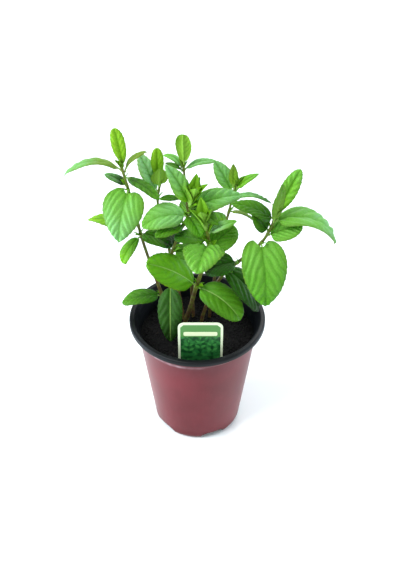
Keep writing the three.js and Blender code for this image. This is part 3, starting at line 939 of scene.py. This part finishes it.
def make_leaflet():
    """A folded young leaf, 10 mm long, that points along +Y and faces +Z."""
    bend = np.stack([STATIONS * 0, STATIONS, 0.12 * STATIONS - 0.22 * STATIONS**2], axis=1)
    net = {
        "rib": bend * LEAFLET_LENGTH,
        "right": np.tile([1.0, 0, 0], (len(STATIONS), 1)),
        "outline": lambda part: 7.2 * part**0.65 * (1 - part) ** 0.95,
        "fold": math.radians(20),
        "length": LEAFLET_LENGTH,
    }
    leaflet, _ = leaf_blank("leaflet", net, teeth=5, tooth_rows=3, columns=6)
    phase = leaflet.data.attributes.new("vein_phase", "FLOAT", "POINT")
    phase.data.foreach_set("value", np.full(len(leaflet.data.vertices), 0.5, np.float32))
    leaflet.data.shade_smooth()
    return leaflet


def make_bud_tree():
    """Puts a leaflet of its own size on each point, turned along one direction and facing another."""
    tree = Tree("buds", Leaflet=bpy.types.Object, Material=bpy.types.Material)
    leaflet = tree.node("GeometryNodeObjectInfo", {"Object": tree.given["Leaflet"]}).outputs["Geometry"]
    along = {"Vector": tree.named("aim", "FLOAT_VECTOR")}
    turned = tree.out("FunctionNodeAlignRotationToVector", along, axis="Y")
    facing = {"Rotation": turned, "Vector": tree.named("facing", "FLOAT_VECTOR")}
    turned = tree.out("FunctionNodeAlignRotationToVector", facing, axis="Z", pivot_axis="Y")
    points, growth = tree.given["Geometry"], tree.named("growth")
    inputs = {"Points": points, "Instance": leaflet, "Rotation": turned, "Scale": growth}
    return tree.finish(tree.out("GeometryNodeInstanceOnPoints", inputs))


leaflet = make_leaflet()
bud_tree = make_bud_tree()
print("leaflet:", len(leaflet.data.polygons), "faces; bud tree:", len(bud_tree.nodes), "nodes")

# %% Buds of each stem
TIP_LENGTHS = {
    "left_stem": [9, 7], "back_left_stem": [9, 7], "back_stem": [8, 6], "middle_stem": [22, 24, 17, 13],
    "back_right_stem": [14, 10], "right_stem": [13, 10], "front_stem": [22, 25, 14],
}
AXIL_LENGTHS = {"middle_stem": 12, "front_stem": 11}
AXIL_LENGTH, AXIL_LEAN = 7.5, 0.75
TIP_PAIR_GAP, TIP_SPREAD, TIP_CLOSING = 1.6, 0.34, 0.07
chance = np.random.default_rng(7)
bud_finish = leaf_finish("sprout", "bright")

for stem, line in stem_lines.items():
    buds = []
    for stalk in stalks[stem]:
        at = min(nearest(line, stalk[0]), len(line) - 3)
        upward, leafward = unit(line[at + 1] - line[at - 1]), unit(stalk[2] - stalk[0])
        sideward = np.cross(upward, leafward)
        for side in (-1, 1):
            aim = unit(upward + AXIL_LEAN * leafward + side * chance.uniform(0.3, 0.6) * sideward)
            foot = line[at] + upward * 1.2 + 0.8 * leafward + side * 0.6 * sideward
            length = AXIL_LENGTHS.get(stem, AXIL_LENGTH) * chance.uniform(0.6, 1.25)
            buds.append((foot, aim, upward - leafward, length))
    upward = unit(line[-1] - line[-3])
    across_tip = unit(np.cross([0.0, 1.0, 0.0], upward))
    onward = np.cross(upward, across_tip)
    tip_lengths = TIP_LENGTHS[stem]
    for pair, length in enumerate(tip_lengths):
        foot = line[-1] - upward * (1.5 + TIP_PAIR_GAP * (len(tip_lengths) - 1 - pair))
        turn = pair * math.pi / 2 + chance.uniform(-0.25, 0.25)
        for side in (-1, 1):
            outward = side * (across_tip * math.cos(turn) + onward * math.sin(turn))
            aim = unit(upward + (TIP_SPREAD - TIP_CLOSING * pair) * outward)
            grown = length * chance.uniform(0.85, 1.1)
            buds.append((foot + 0.6 * outward, aim, upward * 0.3 - outward, grown))
    feet, aims, faces, lengths = (np.array(part) for part in zip(*buds))
    vectors = {"aim": aims, "facing": faces}
    piece = piece_from(stem + "_buds", feet * MM, [], {"growth": lengths / LEAFLET_LENGTH}, vectors)
    run(bud_tree, piece, Leaflet=leaflet, Material=bud_finish)
    keep(smooth(piece), "young_leaf")
    print(piece.name, len(buds), "leaflets,", len(piece.data.polygons), "faces")
bpy.data.objects.remove(leaflet)

# %% [markdown]
# ## Compost
# The compost fills the pot and rises a little towards the stems. It is a closed body that follows the
# inside of the pot. Thousands of crumbs could be set by hand or by a particle system, but particles are
# lost in the export, so a tree roughens the top, scatters crumbs and a few fibres over it and makes them
# real.

# %% Sizes of the pot
WALL = 1.2
HEEL = (43.2, 8.0)
LEDGE = (57.3, 115.0)
FLOOR = 5.2
SOIL_GAP = 0.15


def wall_radius(height):
    """The outer radius of the pot's straight wall at a height."""
    return HEEL[0] + (LEDGE[0] - HEEL[0]) * (height - HEEL[1]) / (LEDGE[1] - HEEL[1])


def soil_radius(height):
    """The radius of the compost at a height: it stays just clear of the wall."""
    return wall_radius(height) - WALL - SOIL_GAP


def lathe(profile, turns):
    """A body turned about the axis from a profile that starts and ends on it, as (radius, height) in mm."""
    (_, bottom), *middle, (_, top) = profile
    radius, height = np.array(middle).T
    flat = radius[:, None]
    upright = np.tile(height[:, None], len(turns))
    corners = np.stack([flat * np.cos(turns), flat * np.sin(turns), upright], axis=-1).reshape(-1, 3)
    return np.concatenate([corners, [(0, 0, bottom), (0, 0, top)]]), loft_faces(len(middle), len(turns))


# %% The body of the compost
SOIL_FOOT = HEEL[1] + 1.5
SOIL_EDGE = 106.0
MOUND = {0: 110, 0.25: 109.9, 0.5: 109.0, 0.8: 106.9, 1: SOIL_EDGE}
MOUND_RINGS, SOIL_SIDES = 45, 120

outwards = np.linspace(1, 0, MOUND_RINGS + 1)[:-1] ** 0.9
mound_heights = np.interp(outwards, list(MOUND), list(MOUND.values()))
soil_profile = [
    (0, SOIL_FOOT), (wall_radius(HEEL[1]) - 4, SOIL_FOOT), *((soil_radius(z), z) for z in (12, 60, 100)),
    *zip(outwards * soil_radius(SOIL_EDGE), mound_heights), (0, MOUND[0]),
]
soil_turns = np.linspace(0, 2 * np.pi, SOIL_SIDES, endpoint=False)
soil_corners, soil_faces = lathe(soil_profile, soil_turns)
from_axis = np.hypot(soil_corners[:, 0], soil_corners[:, 1])
on_top = (soil_corners[:, 2] > SOIL_EDGE - 1) * np.clip((soil_radius(SOIL_EDGE) - from_axis) / 4, 0, 1)
compost = piece_from("compost", soil_corners * MM, soil_faces, {"on_top": on_top})
print("compost:", round(2 * soil_radius(SOIL_EDGE), 1), "mm across,", MOUND[0], "mm high")


# %% Roughening, crumbs and fibres
CRUMB_WARP, FIBRE_WIDTH = 0.0006, 0.0003
ANY_TURN = (6.3, 6.3, 6.3)


def make_compost_tree():
    """Roughens the top and scatters crumbs and fibres on it, each with a tone of its own."""
    tree = Tree(
        "compost", Roughness=2.4, Crumbs=230000.0, Crumb_size=0.9, Fibres=9000.0, Fibre_length=6.0, Seed=3,
        Material=bpy.types.Material,
    )
    on_top = tree.named("on_top")
    noise = tree.field("ShaderNodeTexNoise", {"Scale": 130.0, "Detail": 5.0, "Roughness": 0.65})
    lift = (noise - 0.5) * tree.size("Roughness") * MM * on_top
    upwards = tree.out("ShaderNodeCombineXYZ", {"Z": lift})
    ground = tree.moved(tree.given["Geometry"], upwards)

    def random_vector(low, high, seed):
        inputs = {"Min": low, "Max": high, "Seed": seed}
        return tree.out("FunctionNodeRandomValue", inputs, data_type="FLOAT_VECTOR")

    def scatter(density, instance, smallest, largest, seed):
        inputs = {
            "Mesh": ground, "Selection": on_top.above(0.6), "Density": density, "Seed": tree.given["Seed"],
        }
        points = tree.out("GeometryNodeDistributePointsOnFaces", inputs)
        turn = random_vector((0, 0, 0), ANY_TURN, seed)
        size = random_vector(smallest, largest, seed + 1)
        inputs = {"Points": points, "Instance": instance, "Rotation": turn, "Scale": size}
        copies = tree.out("GeometryNodeInstanceOnPoints", inputs)
        tone = tree.node("FunctionNodeRandomValue", {"Seed": seed + 2}, data_type="FLOAT").outputs[1]
        toned = tree.store(copies, "tone", tone, domain="INSTANCE")
        return tree.out("GeometryNodeRealizeInstances", {"Geometry": toned})

    inputs = {"Radius": tree.size("Crumb_size") * MM, "Subdivisions": 1}
    ball = tree.out("GeometryNodeMeshIcoSphere", inputs)
    crumbs = scatter(tree.given["Crumbs"], ball, (0.35, 0.3, 0.3), (1.6, 1.3, 1.1), 11)
    warp = tree.node("ShaderNodeTexNoise", {"Scale": 900.0})
    crumbs = tree.moved(crumbs, tree.scaled(warp.outputs["Color"], CRUMB_WARP))
    size = {0: FIBRE_WIDTH, 1: FIBRE_WIDTH, 2: tree.size("Fibre_length") * MM}
    stick = tree.out("GeometryNodeMeshCube", {"Size": tree.out("ShaderNodeCombineXYZ", size)})
    fibres = scatter(tree.given["Fibres"], stick, (0.6, 0.6, 0.3), (1.3, 1.3, 1.1), 31)
    fibres = tree.store(fibres, "fibre", 1.0)
    return tree.finish(tree.joined(ground, crumbs, fibres))


# %% Compost finish
def make_compost_finish():
    finish = Finish("compost", Roughness=0.95, Specular_IOR_Level=0.2)
    tone = finish.named("tone") * 0.6 + finish.noise(350, 4.0) * 0.5
    body = finish.mix(tone.ramp(0.2, 0.9), paint(9, 9, 10), paint(31, 29, 29))
    finish.set("Base Color", finish.mix(finish.named("fibre"), body, paint(50, 42, 34)))
    finish.bump(finish.noise(1400, 4.0), 0.0006, 0.8)
    return finish.material


run(make_compost_tree(), compost, Material=make_compost_finish())
keep(compost, "soil", "soil")
print("compost faces:", len(compost.data.polygons))

# %% [markdown]
# ## Pot
# A thin vacuum-formed or blown pot is a turned body. Its foot has five raised pockets that are open at the
# heel, with a drain hole in each, so that water can leave. The wall carries a small ledge on which stacked
# pots rest, and it ends in a rolled rim that turns down outside. The inside and the rim are black, and the
# outside has a skin of terracotta colour. A Screw modifier would turn the profile too, but here the corners
# are worked out one by one, because those that lie in a pocket are then lifted. A tree cuts the drain
# holes.

# %% The pot's profile
LIP_BOTTOM = 123.5
FOOT_RADIUS = 38.5
FLOOR_EDGE = 38
POCKETS = 5
FIRST_POCKET = -68
POCKET_HALF_ANGLE = 17
POCKET_HEIGHT = 4.0
MOUTH_HEIGHT = 7.6
MOUTH_START, MOUTH_DEPTH = 31, 9
POCKET_START = 17.0


def arc(middle, radius, start, end, steps):
    """Points of an arc, from one angle in degrees to another."""
    turns = np.radians(np.linspace(start, end, steps))
    return [(middle[0] + radius * math.cos(turn), middle[1] + radius * math.sin(turn)) for turn in turns]


heel = [
    (FOOT_RADIUS + (HEEL[0] - FOOT_RADIUS) * math.sin(turn), HEEL[1] * (1 - math.cos(turn)))
    for turn in np.linspace(0, math.pi / 2, 9)
]
wall_outside = [(wall_radius(height), height) for height in np.linspace(HEEL[1] + 4, LEDGE[1], 16)]
wall_inside = [(radius - WALL, height) for radius, height in reversed(wall_outside)]
outside = [
    (0, 0), (8, 0), (16, 0), (POCKET_START, 0), (POCKET_START + 0.3, 0), (24, 0), (MOUTH_START, 0), *heel,
    *wall_outside, (57.75, 115.2), (58.1, 115.8), (58.45, 119), (58.8, LIP_BOTTOM), (61.0, 126.9),
]
rim = [
    *arc((62.5, 126.0), 1.2, 90, 0, 5), (63.8, LIP_BOTTOM + 0.3),
    *arc((64.4, LIP_BOTTOM + 0.6), 0.6, 200, 350, 7), *arc((63.1, 126.6), 1.9, 5, 90, 9),
    *arc((61.1, 127.5), 1.0, 90, 175, 6), (57.6, LIP_BOTTOM), (57.1, 119), (56.5, 116),
]
inside = [
    *wall_inside, (HEEL[0] - WALL, HEEL[1]), (HEEL[0] - 2.6, FLOOR + 0.6), (FLOOR_EDGE, FLOOR), (20, FLOOR),
    (0, FLOOR),
]
print("profile points:", len(outside), "outside,", len(rim), "on the rim and", len(inside), "inside")

# %% Turning the pot
odd_turns = np.arange(1, 360, 2.0)
mouths = [FIRST_POCKET + 360 / POCKETS * pocket for pocket in range(POCKETS)]
sides_of_mouths = [mouth + side * (POCKET_HALF_ANGLE - 0.5) for mouth in mouths for side in (-1, 1)]
turns = np.unique(np.concatenate([odd_turns, np.mod(sides_of_mouths, 360)]))
pot_corners, pot_faces = lathe(outside + rim + inside, np.radians(turns))
radius = np.hypot(pot_corners[:, 0], pot_corners[:, 1])
heading = np.degrees(np.arctan2(pot_corners[:, 1], pot_corners[:, 0]))
off_mouth = np.abs((heading[:, None] - mouths + 180) % 360 - 180).min(axis=1)
rings_outside = len(outside) - 1
is_outside = np.arange(len(pot_corners)) < rings_outside * len(turns)
arch = np.sqrt(np.clip(1 - (off_mouth / POCKET_HALF_ANGLE) ** 4, 0, 1))
opening = smoothstep((radius - MOUTH_START) / MOUTH_DEPTH)
ceiling = (POCKET_HEIGHT + (MOUTH_HEIGHT - POCKET_HEIGHT) * opening) * arch
in_pocket = (radius > POCKET_START + 0.1) & is_outside & (pot_corners[:, 2] < ceiling)
pot_corners[in_pocket, 2] = ceiling[in_pocket]
over_pocket = (radius > 30) & ~is_outside & (pot_corners[:, 2] < ceiling + WALL)
pot_corners[over_pocket, 2] = ceiling[over_pocket] + WALL
is_lining = np.arange(len(pot_faces)) >= (rings_outside - 1) * len(turns)
is_lining[-2 * len(turns):-len(turns)] = False
print("pot corners:", len(pot_corners), "lifted into pockets:", int(in_pocket.sum()))


# %% Pot finishes
RUB_AND_HIGHLIGHT_HEIGHT = 0.1138


def make_pot_skin():
    """Terracotta colour under a thin gloss: cloudy and scuffed, with painted shade at the heel and in the
    pockets, and a pale line below the rim on the left that is partly rubbed and partly a painted highlight.
    """
    finish = Finish(
        "terracotta_skin", Specular_IOR_Level=0.12, Coat_Weight=0.6, Coat_Roughness=0.32, Coat_IOR=1.22,
    )
    height = finish.axis("Z")
    cloud = finish.noise(22, 4.0)
    streaks = finish.out("ShaderNodeMapping", {"Vector": finish.place, "Scale": (1, 1, 0.12)})
    grain = finish.noise(420, 3.0, streaks)
    body = finish.mix((cloud * 0.85 + grain * 0.15).ramp(0.3, 0.7), paint(96, 24, 32), paint(112, 34, 43))
    body = finish.mix(height.ramp(0.085, 0.125) * 0.4, body, paint(92, 46, 54))
    # Darker towards the heel, where the pot curves under: painted shade.
    body = finish.mix((1 - height.ramp(0.001, 0.014)) * 0.6, body, paint(84, 26, 28))
    scuffs = finish.noise(90, 6.0).ramp(0.62, 0.72) * (1 - height.ramp(0.0, 0.03))
    body = finish.mix(scuffs * 0.5, body, paint(58, 26, 26))
    # A pale line below the rim on the left: partly rubbed skin, partly a painted highlight where the light
    # catches the ledge.
    worn_and_lit_side = (0.02 - finish.axis("X")).ramp(0.0, 0.05)
    rub_and_highlight = (height - RUB_AND_HIGHLIGHT_HEIGHT).bell(0.0014) * finish.noise(35, 3.0).ramp(0.36, 0.6) * worn_and_lit_side
    body = finish.mix(rub_and_highlight * 0.85, body, paint(204, 176, 184))
    # Faces in the pockets under the foot are nearly black: painted shade.
    finish.set("Base Color", finish.mix(finish.named("hollow"), body, paint(34, 14, 14)))
    finish.set("Roughness", cloud * 0.15 + 0.36)
    finish.bump(grain * 0.25 + cloud, 0.0005, 0.3)
    return finish.material


def make_pot_lining():
    finish = Finish("black_lining", Specular_IOR_Level=0.2, Roughness=0.45)
    scuffs = finish.noise(60, 5.0)
    finish.set("Base Color", finish.mix(scuffs.ramp(0.35, 0.75), paint(8, 11, 14), paint(17, 21, 25)))
    finish.bump(finish.noise(200, 4.0), 0.0004, 0.3)
    return finish.material


# %% Drain holes
def make_drain_tree():
    """Cuts a ring of round holes through the floor, and paints the lining's faces."""
    tree = Tree(
        "drains", Drain_radius=4.0, Drain_at=29.0, Count=POCKETS, First=float(FIRST_POCKET),
        Lining=bpy.types.Material, Material=bpy.types.Material,
    )
    inputs = {"Vertices": tree.given["Count"], "Radius": tree.size("Drain_at") * MM}
    ring = tree.out("GeometryNodeMeshCircle", inputs)
    first = tree.out("ShaderNodeCombineXYZ", {"Z": tree.size("First").do("RADIANS")})
    points = tree.out("GeometryNodeTransform", {"Geometry": ring, "Rotation": first})
    inputs = {"Vertices": 24, "Radius": tree.size("Drain_radius") * MM, "Depth": 0.04}
    bore = tree.out("GeometryNodeMeshCylinder", inputs)
    bores = tree.out("GeometryNodeInstanceOnPoints", {"Points": points, "Instance": bore})
    real_bores = tree.out("GeometryNodeRealizeInstances", {"Geometry": bores})
    inputs = {"Mesh 1": tree.given["Geometry"], "Mesh 2": real_bores}
    cut = tree.out("GeometryNodeMeshBoolean", inputs, operation="DIFFERENCE", solver="EXACT")
    return tree.finish(cut, lining=tree.named("lining").above(0.5))


# The faces lifted into the pockets are marked for painted shade.
pot = piece_from("pot_shell", pot_corners * MM, pot_faces, {"hollow": in_pocket})
pot.data.attributes.new("lining", "FLOAT", "FACE").data.foreach_set("value", is_lining.astype(np.float32))
run(make_drain_tree(), pot, Material=make_pot_skin(), Lining=make_pot_lining())
keep(smooth(pot, 35), "pot_plastic", "pot")
print("pot faces:", len(pot.data.polygons), "materials:", [material.name for material in pot.data.materials])

# %% [markdown]
# ## Plant label
# The label is a thin printed card with a pointed stake. Only its front is printed: a green band, a pale
# strip and a picture of leaves. The strip and the band are left bare. A picture file could be stuck on the
# card, but flat shapes that stand a hair proud of it need no file, and their edges stay sharp.

# %% Flat shapes
LABEL_X, LABEL_FRONT, LABEL_THICKNESS = 3.0, -45.4, 0.8


def slab(name, outlines, front, thickness, finish):
    """Flat prisms that face the front, from outlines in the plane of the label, put in one piece."""
    corners, faces = [], []
    for outline in outlines:
        start, count = len(corners), len(outline)
        for depth in (front, front + thickness):
            corners += [(LABEL_X + x, depth, z) for x, z in outline]
        ahead = list(range(start, start + count))
        behind = [corner + count for corner in ahead]
        faces += [ahead, behind[::-1]]
        faces += [(ahead[i - 1], behind[i - 1], behind[i], ahead[i]) for i in range(count)]
    piece = piece_from(name, np.array(corners) * MM, faces)
    piece.data.materials.append(finish)
    return keep(piece, "label_plastic")


def round_top(half, top, corner, steps):
    """The upper edge of a flat shape that has rounded corners, from right to left."""
    right_corner = arc((half - corner, top - corner), corner, 0, 90, steps)
    return right_corner + arc((corner - half, top - corner), corner, 90, 180, steps)


def leaf_shape(x, z, length, turn):
    """A pointed oval that grows from one point in a direction."""
    part = np.linspace(0, 1, 10)
    half = 0.8 * length * part**0.8 * (1 - part) ** 0.9
    along = np.concatenate([part, part[-2:0:-1]]) * length
    aside = np.concatenate([-half, half[-2:0:-1]])
    c, s = math.cos(math.radians(turn)), math.sin(math.radians(turn))
    return [(x + a * c - b * s, z + a * s + b * c) for a, b in zip(along, aside)]


# %% The card
LABEL_HALF, LABEL_TOP, LABEL_CORNER = 20.5, 160.0, 6
SHOULDER, STAKE_TOP, STAKE_HALF, STAKE_TIP = 112.0, 96, 7, 70


def gloss(name, colour):
    return Finish(name, Base_Color=paint(*colour), Roughness=0.3, Specular_IOR_Level=0.5).material


stake = [
    (-LABEL_HALF, SHOULDER), (-STAKE_HALF, STAKE_TOP), (0, STAKE_TIP), (STAKE_HALF, STAKE_TOP),
    (LABEL_HALF, SHOULDER),
]
head = round_top(LABEL_HALF, LABEL_TOP, LABEL_CORNER, 10)
card = slab("label_card", [head + stake], LABEL_FRONT, LABEL_THICKNESS, gloss("label_card", (222, 236, 202)))
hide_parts("plant_label")
print("label:", 2 * LABEL_HALF, "mm wide,", LABEL_TOP - STAKE_TIP, "mm long")

# %% The shapes of the print
PRINT_HALF, PRINT_BOTTOM, PICTURE_TOP = 18.3, 110, 143
BAND_SHOULDER, BAND_TOP, BAND_TOP_HALF = 154.4, 157.5, 15.3
STRIP_HALF, STRIP_BOTTOM, STRIP_TOP, STRIP_CORNER = 15.4, 144.4, 149.2, 1.5
SPRIGS = ((-10.8, 0), (0, 3.8), (10.8, 0.3))
LOW_PAIRS, HIGH_PAIRS = ((111.5, 7.2), (119, 6.4)), ((126, 5.4), (132, 4.2))
SPRIG_TIP = (136, 3.4)


def pairs_of_leaves(pairs):
    """Opposite pairs of small leaves on each sprig, from their heights and lengths."""
    return [
        leaf_shape(x + side * 0.7, z + raised, length, 90 - side * 52)
        for x, raised in SPRIGS for z, length in pairs for side in (-1, 1)
    ]


band = [
    (PRINT_HALF, PRINT_BOTTOM), (PRINT_HALF, BAND_SHOULDER), (BAND_TOP_HALF, BAND_TOP),
    (-BAND_TOP_HALF, BAND_TOP), (-PRINT_HALF, BAND_SHOULDER), (-PRINT_HALF, PRINT_BOTTOM),
]
picture = [(side * PRINT_HALF, z) for side, z in (
    (1, PRINT_BOTTOM), (1, PICTURE_TOP), (-1, PICTURE_TOP), (-1, PRINT_BOTTOM),
)]
strip = round_top(STRIP_HALF, STRIP_TOP, STRIP_CORNER, 9) + [
    (x, STRIP_TOP + STRIP_BOTTOM - z) for x, z in reversed(round_top(STRIP_HALF, STRIP_TOP, STRIP_CORNER, 5))
]
low_leaves, high_leaves = pairs_of_leaves(LOW_PAIRS), pairs_of_leaves(HIGH_PAIRS)
high_leaves += [leaf_shape(x, SPRIG_TIP[0] + raised, SPRIG_TIP[1], 90) for x, raised in SPRIGS]
print("printed leaves:", len(low_leaves) + len(high_leaves))


# %% The print
def foliage():
    """Printed greenery, out of focus: cells of several greens."""
    finish = Finish("label_picture", Roughness=0.3, Specular_IOR_Level=0.5)
    body = finish.mix(finish.noise(260, 3.0).ramp(0.35, 0.7), paint(14, 66, 30), paint(56, 134, 64))
    cells = finish.cells(420, "SMOOTH_F1")
    finish.set("Base Color", finish.mix(cells.ramp(0.5, 0.9) * 0.7, body, paint(10, 44, 24)))
    return finish.material


PROUD = 0.06
PRINT = {
    "label_band": ([band], 1, gloss("label_band", (72, 136, 56))),
    "label_strip": ([strip], 3, gloss("label_strip", (222, 234, 190))),
    "label_picture": ([picture], 2, foliage()),
    "label_leaves": (low_leaves, 3, gloss("label_leaves", (34, 106, 50))),
    "label_bright_leaves": (high_leaves, 3, gloss("label_bright_leaves", (62, 140, 66))),
}
for name, (outlines, layer, finish) in PRINT.items():
    slab(name, outlines, LABEL_FRONT - layer * PROUD, layer * PROUD, finish)
print("print:", ", ".join(PRINT))

# %% [markdown]
# ## Floor
# The floor is scene only: it isn't part of the plant. A plain pale sheet, far wider than the view, shows no
# edge.

# %% The floor and the sizes
SHEET = 3
corners = [(-SHEET, -SHEET, 0), (SHEET, -SHEET, 0), (SHEET, SHEET, 0), (-SHEET, SHEET, 0)]
floor = piece_from("floor", corners, [(0, 1, 2, 3)])
floor.data.materials.append(Finish("floor", Base_Color=(0.94, 0.98, 0.98, 1), Roughness=0.8).material)
